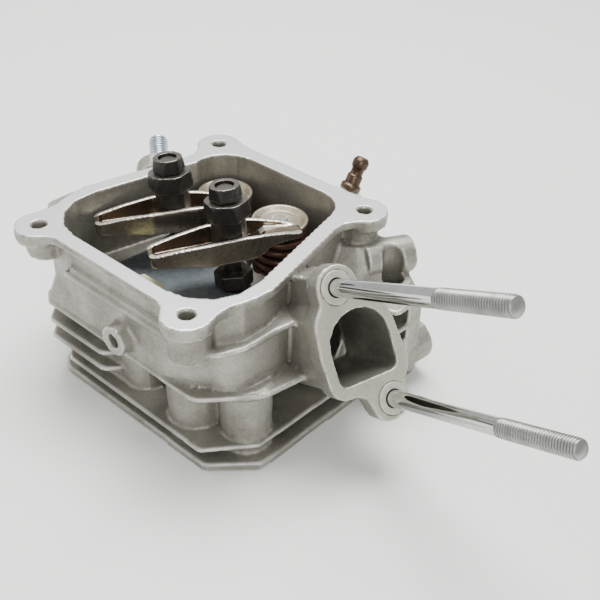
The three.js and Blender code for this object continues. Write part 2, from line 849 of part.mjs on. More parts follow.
// One pressed arm, made along X: the valve end is at +X and the ball's centre at the origin.
function rockerArm() {
  const side = new THREE.Shape();
  side.moveTo(-ARM_PUSH_REACH - 1, -3.2);
  side.quadraticCurveTo(-16, -4.4, -9, -5.2);
  side.lineTo(6, -5.2);
  side.quadraticCurveTo(10, -4.8, 13, -2);
  side.lineTo(ARM_VALVE_REACH + 1, -2);
  side.lineTo(ARM_VALVE_REACH + 1, -1);
  side.quadraticCurveTo(14, 3, 4, 3.3);
  side.quadraticCurveTo(-12, 3.6, -ARM_PUSH_REACH - 1, 0.6);
  side.closePath();
  const floor = new THREE.Shape();
  floor.moveTo(-ARM_PUSH_REACH - 1, -1.6);
  floor.quadraticCurveTo(-16, -2.6, -9, -3.4);
  floor.lineTo(6, -3.4);
  floor.quadraticCurveTo(10, -3, 13, -0.4);
  floor.lineTo(ARM_VALVE_REACH + 1, -0.4);
  floor.lineTo(ARM_VALVE_REACH + 1, 12);
  floor.lineTo(-ARM_PUSH_REACH - 1, 12);
  floor.closePath();
  const outer = sideways(side, 20).intersect(prism(armPlan(0), -20, 20));
  const inner = sideways(floor, 20).intersect(prism(armPlan(1.8), -20, 20));
  const cup = solid(new THREE.SphereGeometry(BALL_RADIUS + 1.9, 16, 8));
  const belowFloor = solid(new THREE.BoxGeometry(40, 40, 20).translate(0, 0, -13.6));
  return outer
    .subtract(inner)
    .add(cup.intersect(belowFloor))
    .subtract(solid(new THREE.SphereGeometry(BALL_RADIUS + GAP, 16, 8)))
    .subtract(post(0, 0, -1, 20, BALL_RADIUS + GAP))
    .subtract(post(0, 0, -20, 20, 4.6));
}

// A side view pushed across the arm: the shape's Y becomes height.
function sideways(shape, width) {
  const geometry = new THREE.ExtrudeGeometry(shape, {
    depth: width,
    bevelEnabled: false,
    curveSegments: 3,
  });
  geometry.translate(0, 0, -width / 2);
  return solid(geometry.rotateX(Math.PI / 2));
}

// Places what is made about the Z axis on a rocker's stud, with the ball's centre at the origin.
function rockerFrame({ x }) {
  const group = new THREE.Group();
  group.position.set(x, PIVOT_Y, PIVOT_CENTRE);
  group.rotation.y = ROCKER_LEAN;
  group.updateMatrixWorld();
  return group;
}

function onRockerAxis(valve, made) {
  const geometry = meshOf(made, "", null).geometry;
  return solid(geometry.applyMatrix4(rockerFrame(valve).matrixWorld));
}

function rockerParts(valve) {
  const group = rockerFrame(valve);
  const floor = POCKET_FLOOR - PIVOT_CENTRE;

  const stud = join([
    post(0, 0, floor - 16, floor + 3, 4),
    hexagon(12, floor + 2.6, floor + 7.8, Math.PI / 12),
    post(0, 0, floor + 7, 19.6, 3),
  ]);
  group.add(meshOf(stud, valve.name + "_rocker_stud", blackOxide));

  const pivot = join([
    solid(new THREE.SphereGeometry(BALL_RADIUS, 16, 8)),
    post(0, 0, 0, 10, BALL_RADIUS),
    hexagon(14, 9, 15.2, 0.2).intersect(post(0, 0, 8.4, 15.2, 8.6, 7.5)),
  ]).subtract(post(0, 0, -14, 26, 3 + GAP));
  group.add(meshOf(pivot, valve.name + "_rocker_pivot", blackOxide));

  const nut = hexagon(10, 15.5, 20.6, 0.5)
    .intersect(post(0, 0, 15.4, 21.4, 6.2, 5))
    .subtract(post(0, 0, 6, 26, 3 + GAP));
  group.add(meshOf(nut, valve.name + "_lock_nut", blackOxide));

  const arm = meshOf(rockerArm(), valve.name + "_rocker_arm", bronzeSteel);
  arm.rotation.z = Math.PI / 2 + valve.swing;
  group.add(arm);
  return group;
}

function guidePlate() {
  const outline = roundedShape([
    [-27.5, -33, 2],
    [15.5, -33, 2],
    [18.5, -28, 3],
    [18.5, 4, 4],
    [11, 10.5, 4],
    [-21, 10.5, 4],
    [-28.5, 4, 4],
    [-30, -20, 3],
  ]);
  let plate = prism(outline, POCKET_FLOOR + GAP, POCKET_FLOOR + 1.9);
  for (const valve of [INTAKE, EXHAUST]) {
    plate = plate.subtract(onRockerAxis(valve, post(0, 0, -26, -14, 4.5)));
    plate = plate.subtract(post(valve.x, -25.4, 30, 40, 3.6));
  }
  const [boltX, boltY] = HEAD_BOLTS[1];
  plate = plate.subtract(post(boltX, boltY, 30, 40, 8));
  return meshOf(plate, "push_rod_guide_plate", blueSteel);
}

function guideBlock() {
  const block = prism(
    roundedShape([
      [-10.5, -32, 1],
      [0.5, -32, 1],
      [0.5, -20, 1],
      [-10.5, -20, 1],
    ]),
    POCKET_FLOOR + 2.2,
    POCKET_FLOOR + 8,
  );
  const hole = solid(new THREE.BoxGeometry(3, 4, 20).translate(-4.4, -25, POCKET_FLOOR + 12));
  return meshOf(block.subtract(hole), "guide_block", creamPlastic);
}

// ---- studs and spark plug -----------------------------------------------------------------
function intakeStud(name, [u, v]) {
  const out = INTAKE_STUD_OUT;
  const stud = turned([
    [0, -STUD_IN],
    [2.9, -STUD_IN],
    [2.9, 1.2],
    [2.5, 1.6],
    [2.5, 2.8],
    [2.85, 3.4],
    [2.85, out - 30],
    [2.95, out - 28],
    [2.95, out - 0.8],
    [2.3, out],
    [0, out],
  ], 12);
  const collar = turned([
    [3.2, -0.6],
    [5.4, -0.6],
    [5.4, 0.25],
    [5.1, 0.45],
    [3.2, 0.45],
    [3.2, -0.6],
  ]);
  return [
    meshOf(onFace(INTAKE_FACE, stud, u, v), name + "_intake_stud", brightSteel),
    meshOf(onFace(INTAKE_FACE, collar, u, v), name + "_stud_collar", zincSteel),
  ];
}

function exhaustStud(name, [u, v]) {
  const stud = turned([
    [0, -STUD_IN],
    [3.9, -STUD_IN],
    [3.9, EXHAUST_STUD_OUT - 1.2],
    [2.8, EXHAUST_STUD_OUT],
    [0, EXHAUST_STUD_OUT],
  ], 16);
  return meshOf(onFace(EXHAUST_FACE, stud, u, v), name + "_exhaust_stud", zincSteel);
}

// Heights are from the plug's tip, along its axis.
function sparkPlug() {
  const top = PLUG_END.distanceTo(PLUG_TIP);
  const shell = turned([
    [4.4, 1.5],
    [6.6, 1.5],
    [6.9, 2],
    [6.9, PLUG_SEAT - 0.5],
    [6.2, PLUG_SEAT],
    [6.2, PLUG_SEAT + 2.3],
    [9.6, PLUG_SEAT + 2.3],
    [9.6, PLUG_SEAT + 5],
    [8.6, PLUG_SEAT + 5.4],
    [8.6, PLUG_SEAT + 15],
    [8, PLUG_SEAT + 16],
    [6.1, PLUG_SEAT + 16],
    [6.1, PLUG_SEAT + 8],
    [4.4, PLUG_SEAT + 2],
    [4.4, 1.5],
  ]);
  const hex = hexagon(20.8, PLUG_SEAT + 6, PLUG_SEAT + 12.5, 0.3)
    .intersect(post(0, 0, 0, 100, 11.6))
    .subtract(post(0, 0, 0, 100, 7));
  const ground = join([
    solid(new THREE.BoxGeometry(1.3, 2.6, 3.5).translate(5.8, 0, 0.4)),
    solid(new THREE.BoxGeometry(7, 2.6, 1.2).translate(3, 0, -0.9)),
  ]);
  const insulator = turned([
    [1.5, 1],
    [2.2, 1],
    [3.8, PLUG_SEAT - 2],
    [3.9, PLUG_SEAT + 1],
    [5.6, PLUG_SEAT + 8],
    [5.6, top - 14],
    [1.5, top - 14],
    [1.5, 1],
  ]);
  const terminal = turned([
    [0, 12],
    [1.2, 12],
    [1.2, top - 13.7],
    [4.1, top - 13.7],
    [4.1, top - 11.6],
    [3.1, top - 11],
    [3.1, top - 7.6],
    [2.5, top - 7.2],
    [2.5, top - 5],
    [3.2, top - 4],
    [3.2, top - 1.6],
    [2.2, top - 0.2],
    [0, top],
  ]);
  const electrode = turned([
    [0, 0.2],
    [1.2, 0.2],
    [1.2, 11.7],
    [0, 11.7],
  ], 12);
  const washer = turned([
    [7.2, PLUG_SEAT + GAP],
    [9.4, PLUG_SEAT + GAP],
    [9.4, PLUG_SEAT + 2],
    [7.2, PLUG_SEAT + 2],
    [7.2, PLUG_SEAT + GAP],
  ]);
  return [
    meshOf(onFace(PLUG_FACE, join([shell, hex, ground])), "spark_plug_shell", zincSteel),
    meshOf(onFace(PLUG_FACE, insulator), "spark_plug_insulator", whiteCeramic),
    meshOf(onFace(PLUG_FACE, terminal), "spark_plug_terminal", brownSteel),
    meshOf(onFace(PLUG_FACE, electrode), "spark_plug_electrode", brightSteel),
    meshOf(onFace(PLUG_FACE, washer), "spark_plug_washer", zincSteel),
  ];
}

// ---- the assembly -------------------------------------------------------------------------
const cylinderHead = new THREE.Group();
cylinderHead.add(meshOf(headCasting(), "head_casting", castAluminium));
for (const side of [INTAKE, EXHAUST]) {
  cylinderHead.add(valveParts(side));
  cylinderHead.add(rockerParts(side));
}
cylinderHead.add(stemSeal(), rotatorCap(), guidePlate(), guideBlock(), ...sparkPlug());
["upper", "lower"].forEach((name, i) => {
  cylinderHead.add(...intakeStud(name, INTAKE_STUDS[i]), exhaustStud(name, EXHAUST_STUDS[i]));
});

export default cylinderHead;
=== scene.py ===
# %% [markdown]
# A small engine's cylinder head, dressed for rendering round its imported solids.
# Every piece is made in metres in the part's own frame, so it lies where its solid lies.

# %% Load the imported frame
import json
import math

import bmesh
import bpy
from mathutils import Matrix, Vector


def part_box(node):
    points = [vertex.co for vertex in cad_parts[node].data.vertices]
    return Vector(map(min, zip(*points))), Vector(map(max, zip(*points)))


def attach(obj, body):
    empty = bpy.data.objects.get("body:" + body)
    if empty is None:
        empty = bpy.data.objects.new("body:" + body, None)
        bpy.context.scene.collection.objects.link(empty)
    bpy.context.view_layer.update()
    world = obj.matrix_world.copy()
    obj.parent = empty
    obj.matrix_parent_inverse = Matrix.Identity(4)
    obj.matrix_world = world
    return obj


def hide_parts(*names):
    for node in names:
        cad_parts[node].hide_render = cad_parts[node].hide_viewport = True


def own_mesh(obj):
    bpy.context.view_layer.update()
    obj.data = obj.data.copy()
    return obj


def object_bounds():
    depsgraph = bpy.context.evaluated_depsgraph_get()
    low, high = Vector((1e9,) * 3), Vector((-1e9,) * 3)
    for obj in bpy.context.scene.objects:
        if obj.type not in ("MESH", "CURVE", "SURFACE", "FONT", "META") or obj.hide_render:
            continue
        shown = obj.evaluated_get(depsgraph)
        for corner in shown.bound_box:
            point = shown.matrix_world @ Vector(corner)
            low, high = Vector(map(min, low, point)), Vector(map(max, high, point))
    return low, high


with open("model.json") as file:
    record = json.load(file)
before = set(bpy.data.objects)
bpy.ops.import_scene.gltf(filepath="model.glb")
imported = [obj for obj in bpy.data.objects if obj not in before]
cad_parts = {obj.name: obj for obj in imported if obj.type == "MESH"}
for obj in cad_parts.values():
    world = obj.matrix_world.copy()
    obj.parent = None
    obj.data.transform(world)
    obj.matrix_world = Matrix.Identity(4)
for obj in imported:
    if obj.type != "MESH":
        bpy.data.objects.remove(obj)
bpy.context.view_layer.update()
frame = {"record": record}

# %% [markdown]
# Three sizes steer everything else: the cover face's height, and where the two rocker balls sit.
# The rocker studs lean a little, so one matrix per rocker turns a shape onto its stud.

# %% Sizes and frames
MM = 0.001
COVER_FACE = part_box("head_casting")[0][2] + 60.5 * MM
VALVE_Y = 28.4 * MM
ROCKER_X = {"intake": 8.8 * MM, "exhaust": -19.4 * MM}
ROCKER_SWING = {"intake": 59.0, "exhaust": 55.0}
BALL = {side: Vector((x, 3 * MM, 54 * MM)) for side, x in ROCKER_X.items()}
LEAN = math.radians(-6)


def rocker_matrix(side):
    swing = math.radians(ROCKER_SWING[side])
    lean = Matrix.Rotation(LEAN, 4, "Y")
    return Matrix.Translation(BALL[side]) @ lean @ Matrix.Rotation(swing, 4, "Z")


def flange_matrix(yaw, rise, origin, u=0.0, v=0.0):
    yaw, rise = math.radians(yaw), math.radians(rise)
    normal = Vector((math.cos(rise) * math.cos(yaw), math.cos(rise) * math.sin(yaw), math.sin(rise)))
    across = Vector((-normal.y, normal.x, 0)).normalized()
    up = normal.cross(across)
    place = Vector(origin) + across * u + up * v
    turn = Matrix((across, up, normal)).transposed().to_4x4()
    return Matrix.Translation(place * MM) @ turn


INTAKE_FACE = (-15.5, 28, (60.5, -2.6, 61.8))
EXHAUST_FACE = (140.5, 20, (-64, 34.5, 43))

# %% [markdown]
# Node trees are easier to read when a node and its inputs are set in one call.
# The same helper serves shader trees and geometry trees.


# %% A helper for node trees
def add_node(tree, kind, inputs=None, **settings):
    node = tree.nodes.new(kind)
    for key, value in settings.items():
        setattr(node, key, value)
    for key, value in (inputs or {}).items():
        if isinstance(value, bpy.types.NodeSocket):
            tree.links.new(value, node.inputs[key])
        else:
            node.inputs[key].default_value = value
    return node


def maths(tree, operation, first, second=None, third=None):
    values = {i: v for i, v in enumerate((first, second, third)) if v is not None}
    return add_node(tree, "ShaderNodeMath", values, operation=operation).outputs[0]


def point_parts(tree):
    position = add_node(tree, "GeometryNodeInputPosition").outputs[0]
    return add_node(tree, "ShaderNodeSeparateXYZ", {0: position}).outputs


def group_tree(name, inputs, outputs):
    tree = bpy.data.node_groups.new(name, "ShaderNodeTree")
    for label, value in inputs:
        socket = tree.interface.new_socket(label, in_out="INPUT", socket_type="NodeSocketFloat")
        socket.default_value = value
    for label in outputs:
        tree.interface.new_socket(label, in_out="OUTPUT", socket_type="NodeSocketFloat")
    return tree, tree.nodes.new("NodeGroupInput"), tree.nodes.new("NodeGroupOutput")


# %% [markdown]
# Three effects are shared by many finishes, so each is a group.
# Grain is the uneven tone and texture of a cast, coated or worked surface.
# Edge rub and highlight lightens the corners, partly wear where a coating rubs off and partly a painted
# highlight, strongest on the casting, and darkens the crevices with painted shade.
# Cutter lines are the fine arcs and streaks that a milling or grinding tool leaves.


# %% Shared shader groups
def grain_group():
    tree, given, out = group_tree(
        "grain", [("Scale", 900.0), ("Patch Scale", 60.0), ("Roughness", 0.6)], ["Tone", "Patch", "Height"])
    place = add_node(tree, "ShaderNodeTexCoord").outputs["Object"]
    fine = add_node(tree, "ShaderNodeTexNoise", {
        "Vector": place, "Scale": given.outputs["Scale"], "Detail": 4.0,
        "Roughness": given.outputs["Roughness"]}).outputs[0]
    patch = add_node(tree, "ShaderNodeTexNoise", {
        "Vector": place, "Scale": given.outputs["Patch Scale"], "Detail": 5.0, "Roughness": 0.6}).outputs[0]
    pits = add_node(tree, "ShaderNodeTexVoronoi", {
        "Vector": place, "Scale": given.outputs["Scale"]}).outputs["Distance"]
    tone = maths(tree, "MULTIPLY_ADD", fine, 0.35, maths(tree, "MULTIPLY", patch, 0.65))
    height = maths(tree, "MULTIPLY_ADD", pits, 0.35, fine)
    tree.links.new(tone, out.inputs["Tone"])
    tree.links.new(patch, out.inputs["Patch"])
    tree.links.new(height, out.inputs["Height"])
    return tree


def rub_and_highlight_group():
    tree, given, out = group_tree(
        "edge rub and highlight", [("Start", 0.52), ("End", 0.60), ("Patch Scale", 250.0)], ["Mask", "Painted Shade"])
    corner = add_node(tree, "ShaderNodeNewGeometry").outputs["Pointiness"]
    place = add_node(tree, "ShaderNodeTexCoord").outputs["Object"]
    patch = add_node(tree, "ShaderNodeTexNoise", {
        "Vector": place, "Scale": given.outputs["Patch Scale"], "Detail": 3.0}).outputs[0]
    # Sharp corners, found by pointiness, are lightened: partly wear, partly a painted highlight.
    mask = add_node(tree, "ShaderNodeMapRange", {
        "Value": corner, "From Min": given.outputs["Start"], "From Max": given.outputs["End"]}).outputs[0]
    broken = add_node(tree, "ShaderNodeMapRange", {
        "Value": patch, "From Min": 0.3, "From Max": 0.6, "To Min": 0.35}).outputs[0]
    # Hollows, found by low pointiness, are darkened as painted shade.
    painted_shade = add_node(tree, "ShaderNodeMapRange", {
        "Value": corner, "From Min": 0.485, "From Max": 0.43}).outputs[0]
    tree.links.new(maths(tree, "MULTIPLY", mask, broken), out.inputs["Mask"])
    tree.links.new(painted_shade, out.inputs["Painted Shade"])
    return tree


def cutter_group():
    tree, given, out = group_tree("cutter lines", [("Scale", 900.0), ("Turn", 0.6)], ["Tone", "Height"])
    place = add_node(tree, "ShaderNodeTexCoord").outputs["Object"]
    turned = add_node(tree, "ShaderNodeVectorRotate", {
        "Vector": place, "Angle": given.outputs["Turn"]}, rotation_type="Z_AXIS").outputs[0]
    parts = add_node(tree, "ShaderNodeSeparateXYZ", {0: turned}).outputs
    streak = add_node(tree, "ShaderNodeCombineXYZ", {
        "X": parts[0], "Y": maths(tree, "MULTIPLY", parts[1], 0.03), "Z": parts[2]}).outputs[0]
    lines = add_node(tree, "ShaderNodeTexNoise", {
        "Vector": streak, "Scale": given.outputs["Scale"], "Detail": 3.0, "Roughness": 0.7}).outputs[0]
    cloud = add_node(tree, "ShaderNodeTexNoise", {"Vector": place, "Scale": 70.0, "Detail": 4.0}).outputs[0]
    tone = maths(tree, "MULTIPLY_ADD", lines, 0.6, maths(tree, "MULTIPLY", cloud, 0.4))
    tree.links.new(tone, out.inputs["Tone"])
    tree.links.new(lines, out.inputs["Height"])
    return tree


GRAIN, RUB_AND_HIGHLIGHT, CUTTER = grain_group(), rub_and_highlight_group(), cutter_group()
print("shader groups", GRAIN.name, RUB_AND_HIGHLIGHT.name, CUTTER.name)

# %% [markdown]
# Most of the head is metal, and metals differ in two tones, shine, grain and how bright their corners are
# painted.
# One function builds them all: the grain mixes a dark and a light tone, the corners get a third colour, partly
# wear and partly a painted highlight, the crevices get painted shade, and the same grain moves the roughness and
# lifts a small bump.


# %% Finishes
def finish(name, dark, light, edge, metallic, rough, grain=900.0, patch=60.0, bump=0.2, spread=0.15,
           rub_and_highlight=(0.52, 0.60), lines=None, contrast=(0.35, 0.65)):
    material = bpy.data.materials.new(name)
    material.use_nodes = True
    tree = material.node_tree
    shader = tree.nodes["Principled BSDF"]
    if lines:
        pattern = add_node(tree, "ShaderNodeGroup", node_tree=CUTTER)
        pattern.inputs["Scale"].default_value = lines[0]
        pattern.inputs["Turn"].default_value = lines[1]
    else:
        pattern = add_node(tree, "ShaderNodeGroup", node_tree=GRAIN)
        pattern.inputs["Scale"].default_value = grain
        pattern.inputs["Patch Scale"].default_value = patch
    tone = add_node(tree, "ShaderNodeMapRange", {
        "Value": pattern.outputs["Tone"], "From Min": contrast[0], "From Max": contrast[1]}).outputs[0]
    body = add_node(tree, "ShaderNodeMix", {
        0: tone, 6: (*dark, 1), 7: (*light, 1)}, data_type="RGBA").outputs[2]
    rub_and_highlight_node = add_node(tree, "ShaderNodeGroup", node_tree=RUB_AND_HIGHLIGHT)
    rub_and_highlight_node.inputs["Start"].default_value, rub_and_highlight_node.inputs["End"].default_value = rub_and_highlight
    # Crevices are darkened towards 0.4 of the dark tone, a painted shade.
    painted_shade_mix = add_node(tree, "ShaderNodeMix", {
        0: rub_and_highlight_node.outputs["Painted Shade"], 6: body, 7: (*(0.4 * c for c in dark), 1)}, data_type="RGBA").outputs[2]
    # The corners take the third colour, partly wear and partly a painted highlight.
    colour = add_node(tree, "ShaderNodeMix", {
        0: rub_and_highlight_node.outputs["Mask"], 6: painted_shade_mix, 7: (*edge, 1)}, data_type="RGBA").outputs[2]
    roughness = add_node(tree, "ShaderNodeMapRange", {
        "Value": tone, "To Min": rough + spread / 2, "To Max": rough - spread / 2}).outputs[0]
    height = add_node(tree, "ShaderNodeBump", {
        "Strength": bump, "Distance": 0.0004, "Height": pattern.outputs["Height"]}).outputs[0]
    shader.inputs["Metallic"].default_value = metallic
    for socket, value in (("Base Color", colour), ("Roughness", roughness), ("Normal", height)):
        tree.links.new(value, shader.inputs[socket])
    return material


# The third colour of each finish is laid on its corners, partly wear and partly a painted highlight; on the
# casting it is the painted highlight of the fin edges.
CAST = finish("die-cast aluminium", (0.20, 0.188, 0.16), (0.40, 0.385, 0.34), (0.80, 0.78, 0.73), 0.7, 0.46,
              grain=1300, patch=70, bump=0.22, rub_and_highlight=(0.512, 0.57))
MILLED = finish("milled face", (0.62, 0.62, 0.61), (0.82, 0.82, 0.81), (0.92, 0.92, 0.91), 0.6, 0.36,
                lines=(1500, 0.5), bump=0.05, rub_and_highlight=(0.53, 0.62))
FLANGE = finish("ground flange face", (0.40, 0.395, 0.32), (0.52, 0.51, 0.42), (0.74, 0.72, 0.62), 0.45, 0.42,
                lines=(1100, 1.2), bump=0.05)
BLACK_OXIDE = finish("black oxide", (0.022, 0.020, 0.019), (0.060, 0.056, 0.052), (0.42, 0.38, 0.33), 0.8, 0.34,
                     grain=1300, patch=180, bump=0.12, rub_and_highlight=(0.525, 0.60))
# Lighter oxide for upward faces: a painted highlight.
LIT_TOP = finish("oxide with painted highlight", (0.10, 0.09, 0.08), (0.22, 0.20, 0.18), (0.5, 0.46, 0.4), 0.85, 0.32,
                  grain=1500, patch=300, bump=0.1)
ARM_INSIDE = finish("bronzed arm inside", (0.17, 0.125, 0.09), (0.44, 0.36, 0.28), (0.75, 0.66, 0.55), 0.95, 0.19,
                    grain=700, patch=90, bump=0.06, rub_and_highlight=(0.53, 0.62))
# The rim finish is a painted highlight and the side finish a painted shade on the same pressed steel.
ARM_LIT_RIM = finish("arm rim with painted highlight", (0.55, 0.50, 0.42), (0.82, 0.78, 0.70), (0.92, 0.88, 0.80), 0.75, 0.26,
                 grain=900, patch=120, bump=0.08)
ARM_SHADED_SIDE = finish("arm side with painted shade", (0.16, 0.14, 0.12), (0.38, 0.345, 0.30), (0.7, 0.64, 0.54), 0.95, 0.24,
                  grain=800, patch=110, bump=0.08, rub_and_highlight=(0.525, 0.60))
SPRING = finish("coated spring wire", (0.045, 0.018, 0.014), (0.12, 0.05, 0.035), (0.3, 0.16, 0.12), 0.5, 0.33,
                grain=900, patch=150, bump=0.05)
RETAINER = finish("passivated retainer", (0.36, 0.31, 0.22), (0.62, 0.56, 0.44), (0.82, 0.76, 0.64), 0.85, 0.28,
                  grain=900, patch=130, bump=0.06)
PLATE = finish("phosphated sheet", (0.10, 0.12, 0.13), (0.27, 0.30, 0.32), (0.46, 0.49, 0.5), 0.55, 0.40,
               grain=500, patch=95, bump=0.10)
CHROME = finish("polished shank", (0.46, 0.465, 0.46), (0.68, 0.685, 0.68), (0.8, 0.8, 0.8), 1.0, 0.08,
                grain=300, patch=40, bump=0.015, spread=0.06)
THREAD = finish("rolled thread", (0.15, 0.15, 0.143), (0.33, 0.33, 0.315), (0.62, 0.62, 0.60), 0.9, 0.34,
                grain=1400, patch=120, bump=0.08)
ZINC = finish("blue zinc", (0.30, 0.36, 0.42), (0.55, 0.62, 0.68), (0.80, 0.84, 0.88), 0.9, 0.27,
              grain=900, patch=100, bump=0.05)
COLLAR = finish("pale collar", (0.42, 0.41, 0.35), (0.62, 0.60, 0.52), (0.74, 0.72, 0.64), 0.4, 0.45,
                grain=900, patch=150, bump=0.1)
GROUND = finish("ground steel", (0.42, 0.40, 0.37), (0.66, 0.64, 0.60), (0.82, 0.8, 0.76), 0.95, 0.25,
                grain=700, patch=90, bump=0.04)
IRON = finish("sintered iron", (0.10, 0.092, 0.085), (0.22, 0.20, 0.185), (0.4, 0.38, 0.35), 0.7, 0.48,
              grain=1400, patch=120, bump=0.2)
CREAM = finish("cream moulding", (0.50, 0.48, 0.26), (0.66, 0.64, 0.38), (0.74, 0.72, 0.5), 0.0, 0.38,
               grain=500, patch=80, bump=0.05)
RUBBER = finish("seal rubber", (0.012, 0.014, 0.012), (0.035, 0.038, 0.034), (0.07, 0.07, 0.07), 0.0, 0.6,
                grain=900, patch=120, bump=0.2)
CERAMIC = finish("glazed ceramic", (0.78, 0.77, 0.73), (0.88, 0.87, 0.84), (0.92, 0.91, 0.88), 0.0, 0.16,
                 grain=300, patch=60, bump=0.02, spread=0.05)
TERMINAL = finish("tarnished brass", (0.040, 0.026, 0.019), (0.12, 0.078, 0.052), (0.34, 0.24, 0.16), 0.85, 0.34,
                  grain=1100, patch=240, bump=0.2)
print("finishes", len(bpy.data.materials))

# %% [markdown]
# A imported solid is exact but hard-edged and faceted. Casting, pressing and forging leave soft corners,
# so each such piece is a copy that is remeshed with small voxels and relaxed until its facets run together.
# The voxel is chosen for the piece's size: a coarse one for the casting, a fine one for a nut.


# %% Helpers that make a finished mesh
def new_object(name, mesh):
    piece = bpy.data.objects.new(name, mesh)
    bpy.context.scene.collection.objects.link(piece)
    return piece


def merged_copy(node):
    mesh = bpy.data.objects[node].data.copy()
    shape = bmesh.new()
    shape.from_mesh(mesh)
    bmesh.ops.remove_doubles(shape, verts=shape.verts, dist=1e-6)
    shape.to_mesh(mesh)
    shape.free()
    mesh.materials.clear()
    return mesh


def baked(piece):
    graph = bpy.context.evaluated_depsgraph_get()
    mesh = bpy.data.meshes.new_from_object(piece.evaluated_get(graph))
    piece.modifiers.clear()
    piece.data = mesh
    return piece


def remeshed(node, voxel, relax=6, faces=190_000):
    piece = new_object(node + "_piece", merged_copy(node))
    remesh = piece.modifiers.new("voxels", "REMESH")
    remesh.mode = "VOXEL"
    remesh.voxel_size = voxel
    if relax:
        smooth = piece.modifiers.new("relax", "SMOOTH")
        smooth.factor = 0.5
        smooth.iterations = relax
    baked(piece)
    triangles = sum(len(p.vertices) - 2 for p in piece.data.polygons)
    if triangles > faces:
        thin = piece.modifiers.new("thin", "DECIMATE")
        thin.ratio = faces / triangles
        baked(piece)
    piece.data.shade_smooth()
    return piece


def settle(piece, node, body, slot, *materials):
    piece.data.materials.clear()
    for material in materials:
        piece.data.materials.append(material)
    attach(piece, body)
    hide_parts(node)
    print(piece.name, len(piece.data.polygons), "faces")
    return piece


# %% [markdown]
# The casting is one die-cast body with faces that a cutter has gone over: the cover face, the two flange faces
# and the gasket face. After the voxels, every point close under such a plane is laid back on it,
# which makes it flat again and leaves the cast corners round. The flat faces then get their own finish.

# %% The casting
CAST_VOXEL = 0.65 * MM
casting = remeshed("head_casting", CAST_VOXEL, relax=2, faces=195_000)


def lay_flat(mesh, origin, normal, depth, reach=None):
    for vertex in mesh.vertices:
        gap = (vertex.co - origin).dot(normal)
        if -depth < gap < depth and (reach is None or (vertex.co - origin).length < reach):
            if vertex.normal.dot(normal) > 0.6 or gap > 0:
                vertex.co -= normal * gap


def paint_faces(mesh, origin, normal, index, reach=None):
    for face in mesh.polygons:
        near = abs((face.center - origin).dot(normal)) < 0.12 * MM
        if near and face.normal.dot(normal) > 0.94 and (reach is None or (face.center - origin).length < reach):
            face.material_index = index


planes = [
    (Vector((0, 0, COVER_FACE)), Vector((0, 0, 1)), 1, None),
    (Vector((0, 0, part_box("head_casting")[0][2])), Vector((0, 0, -1)), 1, None),
]
for face, reach in ((INTAKE_FACE, 60 * MM), (EXHAUST_FACE, 60 * MM)):
    matrix = flange_matrix(*face)
    planes.append((matrix.translation, matrix.to_3x3() @ Vector((0, 0, 1)), 2, reach))
for origin, normal, index, reach in planes:
    lay_flat(casting.data, origin, normal, 0.5 * MM, reach)
casting.data.update()
for material in (CAST, MILLED, FLANGE):
    casting.data.materials.append(material)
for origin, normal, index, reach in planes:
    paint_faces(casting.data, origin, normal, index, reach)
keep = [face.material_index for face in casting.data.polygons]
settle(casting, "head_casting", "head", "cast_aluminium", CAST, MILLED, FLANGE)
casting.data.polygons.foreach_set("material_index", keep)
print("flat faces", sum(1 for index in keep if index))

# %% [markdown]
# A thread is a rule: the radius rises and falls once per pitch along the bar and once per turn round it.
# The tree starts from a finely divided cylinder and moves each point in or out by that rule,
# between a start and an end, with a short chamfer at the free end.


